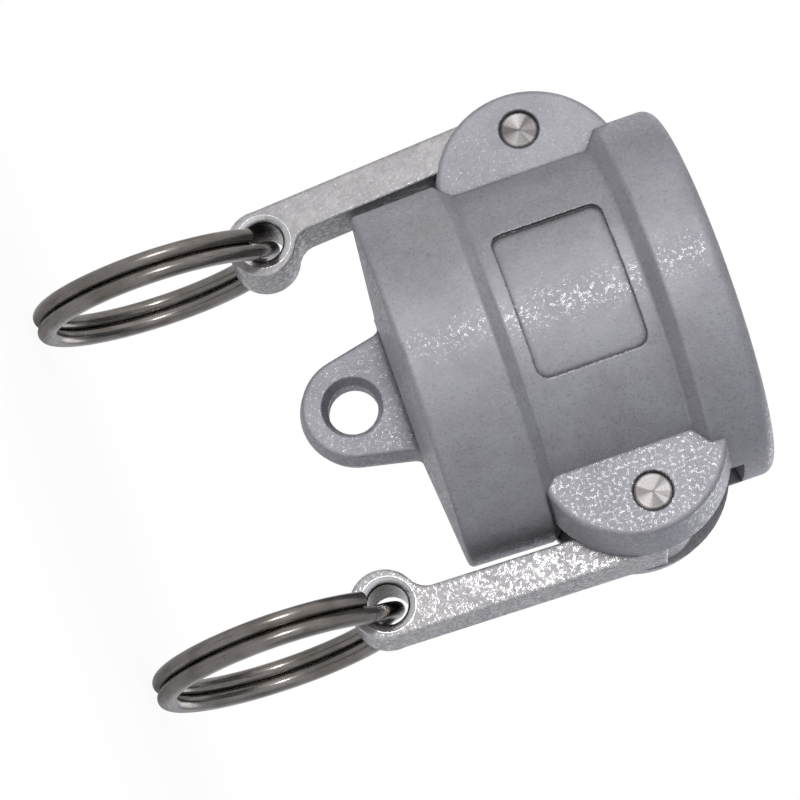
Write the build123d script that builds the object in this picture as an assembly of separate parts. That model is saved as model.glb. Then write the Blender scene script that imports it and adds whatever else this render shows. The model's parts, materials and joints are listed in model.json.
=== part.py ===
from build123d import *
import math
import os

# Dust cap for a 3/4 inch cam-and-groove adapter: a cast cap with two cam arms and pull rings.
# The bore is along Z, the mouth faces +Z and its rim lies at z = 0. The arm pins run along Y.
# "left" is -X, "right" is +X. Sizes are in millimetres.

# Cap body, outside
mouth_r = 20.75
mouth_edge_r = 1.4
mouth_band = 6.8
waist_r = 19.0
waist_length = 15.2
closed_r = 20.3
closed_draft = 0.3
closed_length = 9.5
step_run = 1.5
step_fillet = 0.45
rim_edge_r = 0.6
end_dome = 1.1
end_flat_r = 8.0

# Cap body, inside
adapter_r = 16.0
bore_clearance = 0.3
mouth_land = 5.3
land_chamfer = 0.3
bore_relief = 0.45
end_wall = 3.2

# Gasket and its groove
gasket_outer_r = 17.45
gasket_inner_r = 11.1
gasket_thick = 5.56
groove_clearance = 0.3
groove_height_clearance = 0.3

# Pins and ears
pin_r = 2.0
pin_fit = 0.02
pin_chamfer = 0.2
pin_recess = 0.25
pin_outset = 0.9
pin_z = -14.3
ear_half_width = 9.6
ear_face_r = 10.25
ear_root_r = 10.6
ear_inset = 6.0
ear_root_shift = 0.6
ear_set_back = 0.55
ear_edge_r = 0.5
pin_hole_break = 0.12

# Cam arms
arm_thick = 7.2
arm_side_clearance = 0.2
arm_bore_clearance = 0.06
head_clearance = 0.2
cam_bite = 2.6
nose_r = 3.5
bar_outer = 5.15
bar_width = 4.15
arm_edge_r = 0.6
arm_corner_r = 2.5
slot_clearance = 1.8
slot_end_clearance = 2.75
slot_floor_clearance = 1.6
eye_offset = 1.55
eye_distance = 29.9
eye_r = 2.2
eye_break = 0.25
boss_r = 3.75
boss_offset = 1.45
boss_distance = 30.2
lean_angle_left = 4.0
lean_angle_right = 1.3

# Split rings
ring_outer_r = 14.1
wire_deep = 2.15
wire_wide = 1.7
coil_gap = 0.04
cross_angle = 30.0
coil_end_angle = 33.0
ring_drop = 0.45
yaw_angle_left = 8.0
yaw_angle_right = 1.7
turn_angle_left = 0.0
turn_angle_right = 8.0

# Lug with its cord hole
lug_root_half = 7.4
lug_end_r = 6.1
lug_reach = 11.2
lug_flare_r = 1.2
lug_foot_cover = 0.6
lug_thick = 4.8
lug_draft_angle = 10.0
lug_edge_r = 0.4
lug_hole_r = 2.75
lug_hole_land = 2.2
lug_hole_flare = 0.6
lug_hole_to_end = 5.85

# Sunk panel on the waist
panel_half_width = 8.2
panel_height = 12.1
panel_depth = 0.45
panel_corner_r = 1.3

# Places that follow from the sizes above
bore_r = adapter_r + bore_clearance
relief_r = bore_r + bore_relief
waist_top = -(mouth_band + step_run)
waist_bottom = waist_top - waist_length
closed_top = waist_bottom - step_run
closed_rim = closed_top - closed_length
end_z = closed_rim - end_dome
floor_z = end_z + end_wall
groove_r = gasket_outer_r + groove_clearance
groove_top = floor_z + gasket_thick + groove_height_clearance
slot_half = arm_thick / 2 + arm_side_clearance
pin_x = closed_r + pin_outset
ear_axis_x = pin_x - ear_inset
ear_axis_z = pin_z - ear_set_back
head_r = pin_x - bore_r - head_clearance
nose_reach = pin_x - adapter_r + cam_bite
slot_r = nose_reach + slot_clearance
slot_end_r = nose_reach + slot_end_clearance
slot_floor_r = bore_r + slot_floor_clearance
pin_hole_r = pin_r + pin_fit
ring_wire_r = ring_outer_r - wire_deep / 2
lug_hole_z = end_z - lug_reach + lug_hole_to_end


def turned(points):
    """Solid of revolution about Z from (radius, z) corners given with their rounding."""
    corners = [(r, z) for r, z, _ in points]
    outline = FilletPolyline(*corners, radius=[f for _, _, f in points], close=True)
    return revolve(make_face(Plane.XZ * outline), Axis.Z)


def at_each_pin(shape):
    """The shape as given for the right side, and mirrored to the left side."""
    return [shape, mirror(shape, Plane.YZ)]


def along_y(sketch, width):
    """A sketch drawn in X and Z, made into a plate of the given width centred on y = 0."""
    return extrude(Plane.XZ * sketch, width / 2, both=True)


def rod_y(radius, length, x, z):
    """A round rod along Y, centred on y = 0."""
    return Pos(x, 0, z) * Rot(90, 0, 0) * Cylinder(radius, length)


def cap_outside():
    """The cast outline: mouth band, waist between two slanted steps, closed end."""
    return turned([
        (0, 0, 0),
        (mouth_r, 0, mouth_edge_r),
        (mouth_r, -mouth_band, step_fillet),
        (waist_r, waist_top, step_fillet),
        (waist_r, waist_bottom, step_fillet),
        (closed_r, closed_top, step_fillet),
        (closed_r - closed_draft, closed_rim, rim_edge_r),
        (end_flat_r, end_z, 0),
        (0, end_z, 0),
    ])


def cap_inside():
    """The space inside the cap: land at the mouth, relieved bore, groove for the gasket."""
    above = 1.0
    return turned([
        (0, above, 0),
        (bore_r + land_chamfer, above, 0),
        (bore_r + land_chamfer, 0, 0),
        (bore_r, -land_chamfer, 0),
        (bore_r, -mouth_land, 0),
        (relief_r, -mouth_land - bore_relief, 0),
        (relief_r, groove_top, 0),
        (groove_r, groove_top, 0),
        (groove_r, floor_z, 0),
        (0, floor_z, 0),
    ])


def ears():
    """Two round ears on each side, one on each side of the arm's slot, drafted outwards."""
    height = ear_half_width - slot_half
    face = Pos(0, 0, height) * Circle(ear_face_r)
    ear = loft([Pos(ear_root_shift, 0) * Circle(ear_root_r), face], ruled=True)
    ear = fillet(ear.edges().sort_by(Axis.Z)[-1], ear_edge_r)
    out = Pos(ear_axis_x, slot_half, ear_axis_z) * Rot(-90, 0, 0) * ear
    both = out + mirror(out, Plane.XZ)
    return both + mirror(both, Plane.YZ)


def slot():
    """The arm's slot: through the wall for the cam, and further on into the mouth band."""
    through = rod_y(slot_r, 2 * slot_half, pin_x, pin_z)
    longer = rod_y(slot_end_r, 2 * slot_half, pin_x, pin_z) & Pos(0, 0, waist_top) * Box(
        4 * slot_end_r + 2 * pin_x, 2 * slot_half, 2 * mouth_band)
    return through + (longer - Cylinder(slot_floor_r, 4 * mouth_band))


def pin_hole():
    """The hole through one pair of ears, with its outer edges broken."""
    hole = rod_y(pin_hole_r, 4 * ear_half_width, pin_x, pin_z)
    flare = Cone(pin_hole_r, pin_hole_r + pin_hole_break, pin_hole_break)
    place = Pos(pin_x, ear_half_width - pin_hole_break / 2, pin_z) * Rot(-90, 0, 0)
    flare = place * flare
    return hole + flare + mirror(flare, Plane.XZ)


def lug():
    """The flat tab on the closed end, narrowing to a round end, drafted from its middle."""
    centre_z = end_z - lug_reach + lug_end_r
    root = Polyline((-lug_root_half, end_z), (lug_root_half, end_z))
    tab = make_hull(root.edges() + (Pos(0, centre_z) * Circle(lug_end_r)).edges())
    foot_half = lug_root_half + 1.5 * lug_flare_r
    foot = end_wall - lug_foot_cover
    outline = tab + Pos(0, end_z + foot / 2) * Rectangle(2 * foot_half, foot)
    corners = [v for v in outline.vertices() if abs(abs(v.X) - lug_root_half) < 0.01]
    outline = fillet(corners, lug_flare_r)
    half = extrude(Plane.XZ * outline, lug_thick / 2, taper=lug_draft_angle)
    half = fillet(half.faces().sort_by(Axis.Y)[0].edges(), lug_edge_r)
    return half + mirror(half, Plane.XZ)


def lug_hole():
    """The lug's hole: a short cylinder in the middle that opens towards both faces."""
    flare_length = (lug_thick - lug_hole_land) / 2
    flare = Cone(lug_hole_r, lug_hole_r + lug_hole_flare, flare_length)
    flare = Pos(0, (lug_hole_land + flare_length) / 2, lug_hole_z) * Rot(-90, 0, 0) * flare
    return rod_y(lug_hole_r, lug_thick, 0, lug_hole_z) + flare + mirror(flare, Plane.XZ)


def panel_recess():
    """The shallow panel sunk into the waist on the -Y side, its floor following the curve."""
    middle = (waist_top + waist_bottom) / 2
    frame = Pos(0, middle) * RectangleRounded(2 * panel_half_width, panel_height, panel_corner_r)
    block = extrude(Plane.XZ * frame, 2 * waist_r)
    return block - Cylinder(waist_r - panel_depth, 4 * waist_length)


def make_cap_body():
    body = cap_outside() + ears() + lug()
    body -= cap_inside()
    body -= at_each_pin(slot())
    body -= at_each_pin(pin_hole())
    return body - lug_hole() - panel_recess()


def make_gasket():
    middle = floor_z + gasket_thick / 2
    disc = Cylinder(gasket_outer_r, gasket_thick) - Cylinder(gasket_inner_r, gasket_thick)
    return Pos(0, 0, middle) * disc


def make_pin():
    pin = Cylinder(pin_r, 2 * (ear_half_width - pin_recess))
    pin = chamfer(pin.edges().filter_by(GeomType.CIRCLE), pin_chamfer)
    return Pos(pin_x, 0, pin_z) * Rot(90, 0, 0) * pin


def arm_outline():
    """Side view of a cam arm: X is outwards, -Z along the bar, the pin at the origin."""
    nose = Pos(nose_r - nose_reach, 0) * Circle(nose_r)
    head = make_hull(Circle(head_r).edges() + nose.edges())
    bar_length = boss_distance
    bar = Pos(bar_outer - bar_width / 2, -bar_length / 2) * Rectangle(bar_width, bar_length)
    boss = Pos(boss_offset, -boss_distance) * Circle(boss_r)
    return head + bar + boss


def soften_inner_corners(arm):
    """Rounds the two inner corners where the bar meets the cam head and the eye boss."""
    inner = bar_outer - bar_width
    corners = [e for e in arm.edges().filter_by(Axis.Y)
               if abs(e.center().X - inner) < 0.01 and -boss_distance < e.center().Z < -head_r / 2]
    return fillet(corners, arm_corner_r)


def make_arm():
    arm = soften_inner_corners(along_y(arm_outline(), arm_thick))
    for face in (arm.faces().sort_by(Axis.Y)[0], arm.faces().sort_by(Axis.Y)[-1]):
        arm = fillet(face.edges(), arm_edge_r)
    arm -= rod_y(pin_r + arm_bore_clearance, 2 * arm_thick, 0, 0)
    arm -= rod_y(eye_r, 2 * arm_thick, eye_offset, -eye_distance)
    rims = [e for e in arm.edges().filter_by(GeomType.CIRCLE)
            if abs(e.radius - eye_r) < 0.01 and abs(e.center().Z + eye_distance) < 0.01]
    return chamfer(rims, eye_break)


def hang(lean):
    """Place of an arm that leans in by the given angle, on the right-hand pin."""
    return Pos(pin_x, 0, pin_z) * Rot(0, lean, 0)


def eye_place(lean):
    """Centre of the eye of a leaning arm, as X and Z on the right-hand side."""
    a = math.radians(lean)
    x = pin_x + eye_offset * math.cos(a) - eye_distance * math.sin(a)
    z = pin_z - eye_offset * math.sin(a) - eye_distance * math.cos(a)
    return x, z


def wire_section(offset):
    """The wire's section at the top of the ring, crowned outside and inside, at an X offset."""
    section = Pos(offset, ring_wire_r) * SlotOverall(wire_deep, wire_wide, rotation=90)
    return Plane(origin=(0, 0, 0), x_dir=(1, 0, 0), z_dir=(0, -1, 0)) * section


def coil(side, start, arc):
    """One turn of wire beside the ring's middle plane, from the start angle, 0 at the top."""
    offset = side * (wire_wide + coil_gap) / 2
    return Rot(start, 0, 0) * revolve(wire_section(offset), Axis.X, arc)


def crossing():
    """The short stretch through the eye, where the wire crosses from one turn to the other."""
    reach = ring_wire_r * math.sin(math.radians(cross_angle))
    tilt = math.degrees(math.atan((wire_wide + coil_gap) / 2 / reach))
    arc = revolve(wire_section(0), Axis.X, 2 * cross_angle)
    return Rot(0, 0, tilt) * Rot(-cross_angle, 0, 0) * arc


def make_ring():
    """A split ring of two turns, hanging from the origin in the plane of Y and Z."""
    turn = 360 - cross_angle - coil_end_angle
    right_turn = coil(1, cross_angle, turn)
    left_turn = coil(-1, coil_end_angle, turn)
    ring = right_turn + left_turn + crossing()
    return Pos(0, 0, ring_drop - ring_wire_r) * ring


def in_eye(x, z, turn, yaw):
    """Place of a ring in an eye, slid round through it by a turn and swung round by a yaw."""
    return Pos(x, 0, z) * Rot(turn, 0, 0) * Rot(0, 0, yaw)


def build():
    left_x, left_z = eye_place(lean_angle_left)
    right_x, right_z = eye_place(lean_angle_right)
    arm = make_arm()
    ring = make_ring()
    pin_right, pin_left = at_each_pin(make_pin())
    return {
        "cap_body": make_cap_body(),
        "gasket": make_gasket(),
        "pin_left": pin_left,
        "pin_right": pin_right,
        "cam_arm_left": mirror(hang(lean_angle_left) * arm, Plane.YZ),
        "cam_arm_right": hang(lean_angle_right) * arm,
        "split_ring_left": in_eye(-left_x, left_z, turn_angle_left, yaw_angle_left) * ring,
        "split_ring_right": in_eye(right_x, right_z, turn_angle_right, yaw_angle_right) * ring,
    }


os.makedirs("parts", exist_ok=True)
for name, shape in build().items():
    export_step(shape, f"parts/{name}.step")
    box = shape.bounding_box()
    print(name, len(shape.solids()), round(shape.volume, 1), box.min, box.max)
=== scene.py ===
import json
import math

import bpy
from mathutils import Matrix, Vector

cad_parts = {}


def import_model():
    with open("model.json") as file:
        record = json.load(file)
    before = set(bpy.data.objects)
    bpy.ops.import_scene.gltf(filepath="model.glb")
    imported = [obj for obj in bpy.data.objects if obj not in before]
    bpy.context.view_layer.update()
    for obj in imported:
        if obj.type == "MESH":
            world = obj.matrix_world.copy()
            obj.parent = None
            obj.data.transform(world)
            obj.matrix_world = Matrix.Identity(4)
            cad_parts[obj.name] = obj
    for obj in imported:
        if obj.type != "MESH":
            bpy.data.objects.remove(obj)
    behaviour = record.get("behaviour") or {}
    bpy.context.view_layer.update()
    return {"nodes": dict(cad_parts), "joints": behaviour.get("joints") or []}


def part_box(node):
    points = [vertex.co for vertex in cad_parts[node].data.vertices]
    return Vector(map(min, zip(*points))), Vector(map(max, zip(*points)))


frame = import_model()

MM = 0.001

# Camera, fitted to the photograph
CAMERA_AT = (0.096103, -0.336576, -0.042738)
CAMERA_RIGHT = (0.318525, 0.071090, 0.945245)
CAMERA_UP = (-0.907577, -0.264926, 0.325757)
FOCAL_PIXELS = 3231.97
IMAGE_PIXELS = 800
SENSOR_MM = 36.0

FLOOR_Z = -0.0711

# The arms' eye and the countersink round it, with its polish and painted highlight
EYE_R = 0.0022
EYE_RIM_R = 0.0030

# Dark colour for pits and grain, and for painted shade in corners, in the gaps round the pins and
# inside the eyes.
DARK_PITS_AND_SHADE = (0.05, 0.05, 0.055, 1)


class Nodes:
    """Builds a node tree with short calls. Every call returns the new node's first output."""

    def __init__(self, tree):
        self.tree = tree
        tree.nodes.clear()

    def add(self, kind, inputs=None, out=0, **settings):
        node = self.tree.nodes.new(kind)
        for name, value in settings.items():
            setattr(node, name, value)
        for name, value in (inputs or {}).items():
            socket = node.inputs[name]
            if isinstance(value, bpy.types.NodeSocket):
                self.tree.links.new(value, socket)
            else:
                socket.default_value = value
        return node.outputs[out]

    def math(self, operation, *values, clamp=False):
        return self.add("ShaderNodeMath", dict(enumerate(values)), operation=operation,
                        use_clamp=clamp)

    def vector(self, operation, *values, out=0):
        return self.add("ShaderNodeVectorMath", dict(enumerate(values)), out=out,
                        operation=operation)

    def ramp(self, value, low, high, to_low=0.0, to_high=1.0, smooth=True):
        return self.add("ShaderNodeMapRange",
                        {"Value": value, "From Min": low, "From Max": high,
                         "To Min": to_low, "To Max": to_high},
                        interpolation_type="SMOOTHSTEP" if smooth else "LINEAR")

    def mix(self, factor, a, b):
        return self.add("ShaderNodeMix", {0: factor, 6: a, 7: b}, out=2, data_type="RGBA")

    def noise(self, where, scale, detail=2.0, rough=0.5):
        return self.add("ShaderNodeTexNoise",
                        {"Vector": where, "Scale": scale, "Detail": detail, "Roughness": rough})

    def cells(self, where, scale, out=0, random=1.0):
        return self.add("ShaderNodeTexVoronoi",
                        {"Vector": where, "Scale": scale, "Randomness": random}, out=out)

    def bump(self, height, distance, strength=1.0, normal=None):
        inputs = {"Height": height, "Distance": distance, "Strength": strength}
        if normal is not None:
            inputs["Normal"] = normal
        return self.add("ShaderNodeBump", inputs)


def material(name):
    mat = bpy.data.materials.new(name)
    mat.use_nodes = True
    return mat, Nodes(mat.node_tree)


def finish_material(n, shader):
    end = n.tree.nodes.new("ShaderNodeOutputMaterial")
    n.tree.links.new(shader, end.inputs["Surface"])


def principled(n, fixed, linked):
    """The surface shader: plain numbers on its own sockets, and links where a value varies."""
    shader = n.tree.nodes.new("ShaderNodeBsdfPrincipled")
    for name, value in fixed.items():
        shader.inputs[name].default_value = value
    for name, socket in linked.items():
        n.tree.links.new(socket, shader.inputs[name])
    finish_material(n, shader.outputs[0])


def rgb(r, g, b):
    """A colour given in 0 to 255, as linear RGBA."""
    def linear(c):
        c /= 255
        return c / 12.92 if c <= 0.04045 else ((c + 0.055) / 1.055) ** 2.4
    return (linear(r), linear(g), linear(b), 1.0)


def edge_mask(n, radius, samples=6):
    """A normal rounded over edges, and 1 on edges, 0 on open faces, from how far it turned."""
    bevelled = n.add("ShaderNodeBevel", {"Radius": radius}, samples=samples)
    true_normal = n.add("ShaderNodeNewGeometry", out=1)
    agree = n.vector("DOT_PRODUCT", bevelled, true_normal, out=1)
    return bevelled, n.ramp(agree, 0.985, 0.80)


def painted_corner_shade(n, reach):
    """Painted shade: 1 deep in corners and gaps, 0 on open faces, from ambient occlusion."""
    open_sky = n.add("ShaderNodeAmbientOcclusion", {"Distance": reach}, out=1, samples=6,
                     only_local=True)
    return n.ramp(open_sky, 0.92, 0.45)


def axis_distance(n, where, centre):
    """The distance to a line along Y through a point."""
    flat = n.vector("MULTIPLY", n.vector("SUBTRACT", where, centre), (1.0, 0.0, 1.0))
    return n.vector("LENGTH", flat, out=1)


def eye_distance(n, where):
    """The distance to the nearer arm's eye; the ring's hinge runs along each eye's axis."""
    centres = [joint["pos_m"] for joint in frame["joints"] if joint["name"].startswith("ring")]
    return n.math("MINIMUM", *[axis_distance(n, where, centre) for centre in centres])


def pin_end_gap_shade(n, where):
    """Painted shade: 1 in the narrow gap round each pin's end, from the distance to the pins' axes.
    """
    total = None
    for side in ("left", "right"):
        low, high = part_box(f"pin_{side}")
        centre = [(a + b) / 2 for a, b in zip(low, high)]
        away = axis_distance(n, where, centre)
        ring = n.ramp(away, (high[0] - low[0]) / 2 + 0.00040, (high[0] - low[0]) / 2 + 0.00012)
        total = ring if total is None else n.math("MAXIMUM", total, ring)
    return total


def cast_steel(name, look):
    """Cast stainless: a matte ground, and over it a thin glossy film on rough small bumps.

    The film is what sparkles where the lamp's mirror direction falls."""
    mat, n = material(name)
    where = n.add("ShaderNodeTexCoord", out=3)
    bevelled, edges = edge_mask(n, look["round_edges"])

    patches = n.noise(where, 150, 3.0)
    clouds = n.noise(where, 700, 3.0)
    stains = n.noise(where, 75, 4.0, 0.6)
    grain = n.noise(where, look["grain"], 3.0, 0.6)
    worn = n.ramp(n.noise(where, 2500, 3.0, 0.7), 0.47, 0.56)
    edge_pits = n.math("MULTIPLY", n.math("MULTIPLY", edges, worn), look["edge_pits"])
    pits = n.math("MULTIPLY", n.ramp(n.noise(where, 2600, 1.0), 0.70, 0.76),
                  n.ramp(n.noise(where, 210, 2.0), 0.50, 0.66))

    base = n.mix(n.ramp(patches, 0.3, 0.7), look["low"], look["high"])
    base = n.mix(n.ramp(clouds, 0.35, 0.65, 0.0, look["cloud_depth"]), base, look["polish_and_highlight_tone"])
    base = n.mix(n.ramp(stains, 0.56, 0.72, 0.0, 0.30), base, look["stain"])
    base = n.mix(n.ramp(grain, 0.52, 0.30, 0.0, look["grain_depth"]), base, DARK_PITS_AND_SHADE)
    base = n.mix(n.math("MULTIPLY", pits, look["pits"]), base, DARK_PITS_AND_SHADE)
    # Lighter edges: partly polished wear, partly a painted highlight along the rounded edges.
    edge_polish_and_highlight = n.math("MULTIPLY", edges, n.ramp(n.noise(where, 1700, 2.0), 0.40, 0.62, 0.2, 1.0))
    base = n.mix(n.math("MULTIPLY", edge_polish_and_highlight, look["edge_highlight_gain"]), base, look["polish_and_highlight_tone"])
    base = n.mix(n.math("MULTIPLY", edge_pits, 0.85), base, DARK_PITS_AND_SHADE)
    # Painted shade: corners and gaps darkened from ambient occlusion.
    base = n.mix(n.math("MULTIPLY", painted_corner_shade(n, 0.0009), look["shade_in_corners"]), base, DARK_PITS_AND_SHADE)
    # Painted shade in the narrow gap round each pin's end.
    if look["paint_pin_end_shade"]:
        base = n.mix(n.math("MULTIPLY", pin_end_gap_shade(n, where), 0.85), base, (0.02, 0.02, 0.022, 1))

    if look["eye_rim"]:
        away = eye_distance(n, where)
        rim = n.ramp(away, EYE_R, EYE_RIM_R, smooth=False)
        rim_polish_and_highlight = n.ramp(away, EYE_RIM_R + 0.0001, EYE_RIM_R)
        bevelled = n.bump(rim, 0.00035, 1.0, bevelled)
        # The countersink painted lighter: partly polish, partly a painted highlight.
        base = n.mix(n.math("MULTIPLY", rim_polish_and_highlight, 0.6), base, look["polish_and_highlight_tone"])
        edges = n.math("MAXIMUM", edges, rim_polish_and_highlight)
        # Painted shade just inside the eye's bore.
        shade_in_eye = n.ramp(away, EYE_R + 0.00010, EYE_R + 0.00002)
        base = n.mix(n.math("MULTIPLY", shade_in_eye, 0.75), base, DARK_PITS_AND_SHADE)
    normal = n.bump(clouds, 0.00010, look["cloud_bump"], bevelled)
    normal = n.bump(grain, 0.00003, look["grain_bump"], normal)
    rough = n.ramp(grain, 0.3, 0.7, look["rough"] - 0.05, look["rough"] + 0.05)
    rough = n.math("ADD", rough, n.math("MULTIPLY", edges, look["edge_rough"] - look["rough"]))

    crumbs = n.noise(where, look["film_scale"], 2.0, 0.55)
    film_normal = n.bump(crumbs, 0.0001, look["film_bump"], bevelled)
    film = n.ramp(n.noise(where, 2400, 2.0), *look["film_cover"],
                  look["film_least"], look["film_most"])
    film = n.math("ADD", film, n.math("MULTIPLY", edges, look["film_edges"]), clamp=True)
    principled(n, {"Metallic": 1.0, "Coat Roughness": look["film_rough"], "Coat IOR": 1.6},
               {"Base Color": base, "Roughness": rough, "Normal": normal,
                "Coat Weight": film, "Coat Normal": film_normal})
    return mat


def ring_steel(name, node):
    """Drawn spring wire: smooth, browned, with faint streaks that run along the turns."""
    mat, n = material(name)
    where = n.add("ShaderNodeTexCoord", out=3)
    low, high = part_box(node)
    centre = [(a + b) / 2 for a, b in zip(low, high)]
    offset = n.vector("SUBTRACT", where, centre)
    flat = n.vector("LENGTH", n.vector("MULTIPLY", offset, (0.0, 1.0, 1.0)), out=1)
    parts = n.add("ShaderNodeSeparateXYZ", {"Vector": offset})
    across = parts.node.outputs
    turn = n.math("ARCTAN2", across[2], across[1])
    along = n.add("ShaderNodeCombineXYZ", {"X": n.math("MULTIPLY", flat, 3600.0),
                                           "Y": n.math("MULTIPLY", across[0], 3600.0),
                                           "Z": n.math("MULTIPLY", turn, 5.0)})
    streaks = n.noise(along, 1.0, 3.0)
    blotches = n.noise(where, 260, 3.0)
    specks = n.noise(where, 3600, 3.0)
    base = n.mix(n.ramp(blotches, 0.3, 0.7), rgb(124, 119, 113), rgb(146, 141, 138))
    base = n.mix(n.ramp(streaks, 0.48, 0.75, 0.0, 0.45), base, rgb(86, 80, 72))
    base = n.mix(n.ramp(specks, 0.64, 0.74, 0.0, 0.5), base, rgb(66, 60, 54))
    rough = n.ramp(streaks, 0.3, 0.7, 0.19, 0.30)
    normal = n.bump(streaks, 0.000012, 0.5)
    normal = n.bump(specks, 0.000010, 0.5, normal)
    principled(n, {"Metallic": 1.0}, {"Base Color": base, "Roughness": rough, "Normal": normal})
    return mat


def pin_steel(name, centre):
    """Turned pin: fine rings round its own axis on the ends, which catch the light in a bow."""
    mat, n = material(name)
    where = n.add("ShaderNodeTexCoord", out=3)
    offset = n.vector("SUBTRACT", where, centre)
    radius = n.vector("LENGTH", n.vector("MULTIPLY", offset, (1.0, 0.0, 1.0)), out=1)
    wobble = n.math("MULTIPLY", n.noise(where, 900, 2.0), 0.00006)
    radius = n.math("ADD", radius, wobble)
    wide_rings = n.math("SINE", n.math("MULTIPLY", radius, 2 * math.pi / 0.00043))
    centre_mark = n.ramp(radius, 0.0004, 0.0001)
    base = n.mix(n.ramp(wide_rings, -1, 1, 0.0, 0.30), rgb(182, 178, 178), rgb(156, 152, 152))
    base = n.mix(n.math("MULTIPLY", centre_mark, 0.5), base, rgb(96, 92, 90))
    # Darker sectors round the end: painted shade, standing in for the turned end's bow-shaped
    # highlight.
    outward = n.vector("NORMALIZE", n.vector("MULTIPLY", offset, (1.0, 0.0, 1.0)))
    painted_bow_shade = n.ramp(n.noise(outward, 1.6, 2.0), 0.36, 0.64)
    base = n.mix(n.math("MULTIPLY", painted_bow_shade, 0.70), base, rgb(98, 94, 94))
    normal = n.bump(wide_rings, 0.000003, 0.5)
    tangent = n.add("ShaderNodeTangent", direction_type="RADIAL", axis="Y")
    principled(n, {"Metallic": 1.0, "Roughness": 0.50, "Anisotropic": 0.92,
                   "Anisotropic Rotation": 0.25},
               {"Base Color": base, "Normal": normal, "Tangent": tangent})
    return mat


def rubber():
    mat, n = material("gasket_rubber")
    where = n.add("ShaderNodeTexCoord", out=3)
    dust = n.noise(where, 1500, 3.0)
    base = n.mix(n.ramp(dust, 0.5, 0.8, 0.0, 0.5), (0.012, 0.012, 0.013, 1), (0.05, 0.05, 0.052, 1))
    rough = n.ramp(n.noise(where, 500, 2.0), 0.3, 0.7, 0.45, 0.62)
    normal = n.bump(n.noise(where, 3000, 3.0), 0.00003, 0.5)
    principled(n, {"Specular IOR Level": 0.45},
               {"Base Color": base, "Roughness": rough, "Normal": normal})
    return mat


def dress(node, mat):
    obj = frame["nodes"][node]
    obj.data.materials.clear()
    obj.data.materials.append(mat)


BODY_LOOK = {
    "low": rgb(163, 162, 168), "high": rgb(173, 173, 179), "stain": rgb(162, 157, 154),
    "grain": 3600, "grain_depth": 0.26, "grain_bump": 0.8, "cloud_bump": 0.30, "pits": 0.35,
    "cloud_depth": 0.10, "round_edges": 0.00034, "polish_and_highlight_tone": rgb(200, 201, 206),
    "edge_highlight_gain": 0.15, "edge_pits": 1.0, "shade_in_corners": 0.75, "rough": 0.64, "edge_rough": 0.52,
    "paint_pin_end_shade": True, "eye_rim": False, "film_scale": 4000, "film_bump": 0.34,
    "film_rough": 0.15, "film_least": 0.0, "film_most": 0.62, "film_edges": 0.25,
    "film_cover": (0.51, 0.62)}

ARM_LOOK = {
    "low": rgb(158, 156, 158), "high": rgb(169, 166, 168), "stain": rgb(163, 156, 152),
    "grain": 2300, "grain_depth": 0.24, "grain_bump": 1.3, "cloud_bump": 0.15, "pits": 0.0,
    "cloud_depth": 0.10, "round_edges": 0.00055, "polish_and_highlight_tone": rgb(246, 246, 248),
    "edge_highlight_gain": 0.85, "edge_pits": 0.0, "shade_in_corners": 0.45, "rough": 0.56, "edge_rough": 0.20,
    "paint_pin_end_shade": False, "eye_rim": True, "film_scale": 3000, "film_bump": 0.38,
    "film_rough": 0.15, "film_least": 0.0, "film_most": 1.0, "film_edges": 0.35,
    "film_cover": (0.46, 0.58)}


def dress_all():
    body = cast_steel("cast_body_steel", BODY_LOOK)
    arm = cast_steel("cast_arm_steel", ARM_LOOK)
    dress("cap_body", body)
    dress("gasket", rubber())
    for side in ("left", "right"):
        dress(f"cam_arm_{side}", arm)
        dress(f"split_ring_{side}", ring_steel(f"ring_steel_{side}", f"split_ring_{side}"))
        low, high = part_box(f"pin_{side}")
        centre = [(a + b) / 2 for a, b in zip(low, high)]
        dress(f"pin_{side}", pin_steel(f"pin_steel_{side}", centre))


def area_light(name, place, target, size, power):
    data = bpy.data.lights.new(name, "AREA")
    data.shape = "DISK"
    data.size = size
    data.energy = power
    obj = bpy.data.objects.new(name, data)
    obj.location = place
    obj.rotation_euler = (Vector(target) - Vector(place)).to_track_quat("-Z", "Y").to_euler()
    bpy.context.scene.collection.objects.link(obj)


def lights():
    middle = (0, 0, -0.030)
    area_light("flash", (-0.055, -0.385, 0.010), middle, 0.05, 0.37)
    area_light("back_fill", (0.15, 0.42, 0.25), middle, 0.30, 0.40)


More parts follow.
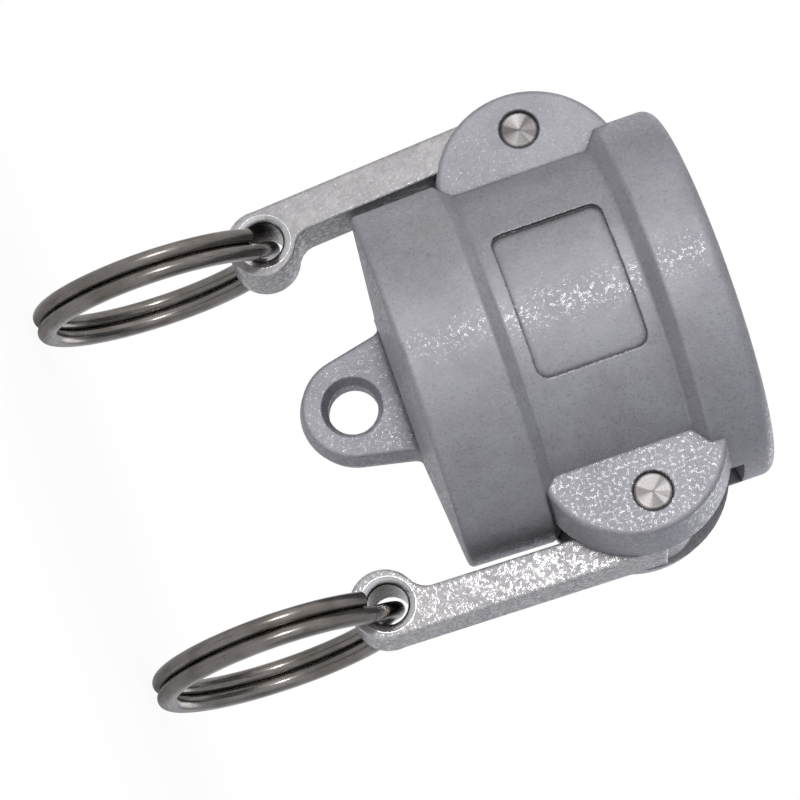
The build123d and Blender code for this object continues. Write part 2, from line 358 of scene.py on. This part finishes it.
def world():
    """Even room light: warmer and stronger from -X and the front, bluish and weaker from +X."""
    scene_world = bpy.data.worlds.new("studio")
    bpy.context.scene.world = scene_world
    scene_world.use_nodes = True
    n = Nodes(scene_world.node_tree)
    direction = n.add("ShaderNodeTexCoord", out=0)
    lean = n.vector("DOT_PRODUCT", direction, (-0.17, -0.14, 0.0), out=1)
    height = n.math("ABSOLUTE", n.vector("DOT_PRODUCT", direction, (0.0, 0.0, 1.0), out=1))
    tone = n.math("ADD", n.math("ADD", 0.82, lean), n.math("MULTIPLY", height, -0.26))
    sideways = n.math("ABSOLUTE", n.vector("DOT_PRODUCT", direction, (1.0, 0.0, 0.0), out=1))
    tone = n.math("SUBTRACT", tone, n.ramp(sideways, 0.72, 0.98, 0.0, 0.28))
    side = n.vector("DOT_PRODUCT", direction, (0.35, 0.35, 0.0), out=1)
    hue = n.mix(n.math("ADD", 0.5, side, clamp=True), (1.03, 1.0, 0.99, 1), (0.96, 0.99, 1.09, 1))
    soft = n.mix(tone, (0, 0, 0, 1), hue)
    path = n.tree.nodes.new("ShaderNodeLightPath")
    shown = n.math("MAXIMUM", path.outputs["Is Camera Ray"], path.outputs["Is Transmission Ray"])
    shown = n.math("MAXIMUM", shown, n.math("MULTIPLY", path.outputs["Is Glossy Ray"], 0.10))
    colour = n.mix(shown, soft, (1, 1, 1, 1))
    back = n.add("ShaderNodeBackground", {"Color": colour, "Strength": 1.0})
    out = scene_world.node_tree.nodes.new("ShaderNodeOutputWorld")
    scene_world.node_tree.links.new(back, out.inputs["Surface"])


def floor():
    mesh = bpy.data.meshes.new("floor")
    half = 3.0
    mesh.from_pydata([(-half, -half, FLOOR_Z), (half, -half, FLOOR_Z), (half, half, FLOOR_Z),
                      (-half, half, FLOOR_Z)], [], [(0, 1, 2, 3)])
    obj = bpy.data.objects.new("floor", mesh)
    bpy.context.scene.collection.objects.link(obj)
    mat, n = material("floor_white")
    where = n.add("ShaderNodeTexCoord", out=3)
    tone = n.mix(n.noise(where, 30, 2.0), (0.84, 0.84, 0.84, 1), (0.88, 0.88, 0.88, 1))
    matte = n.add("ShaderNodeBsdfDiffuse", {"Color": tone})
    path = n.tree.nodes.new("ShaderNodeLightPath")
    seen = n.math("MAXIMUM", path.outputs["Is Camera Ray"], path.outputs["Is Transmission Ray"])
    seen = n.math("MAXIMUM", seen, n.math("MULTIPLY", path.outputs["Is Glossy Ray"], 0.15))
    glow = n.add("ShaderNodeEmission", {"Color": (1, 1, 1, 1), "Strength": 1.0})
    reach = n.vector("LENGTH", where, out=1)
    share = n.math("MULTIPLY", seen, n.ramp(reach, 0.05, 0.13, 0.92, 1.0))
    both = n.tree.nodes.new("ShaderNodeMixShader")
    n.tree.links.new(share, both.inputs[0])
    n.tree.links.new(matte, both.inputs[1])
    n.tree.links.new(glow, both.inputs[2])
    finish_material(n, both.outputs[0])
    mesh.materials.append(mat)


def camera():
    data = bpy.data.cameras.new("camera")
    data.sensor_fit = "HORIZONTAL"
    data.sensor_width = SENSOR_MM
    data.lens = FOCAL_PIXELS / IMAGE_PIXELS * SENSOR_MM
    data.clip_start = 0.01
    data.clip_end = 20
    obj = bpy.data.objects.new("camera", data)
    right, up = Vector(CAMERA_RIGHT), Vector(CAMERA_UP)
    back = right.cross(up)
    turn = Matrix((right, up, back)).transposed()
    obj.matrix_world = Matrix.Translation(CAMERA_AT) @ turn.to_4x4()
    bpy.context.scene.collection.objects.link(obj)
    bpy.context.scene.camera = obj


dress_all()
lights()
world()
floor()
camera()
bpy.context.scene.view_settings.view_transform = "Standard"
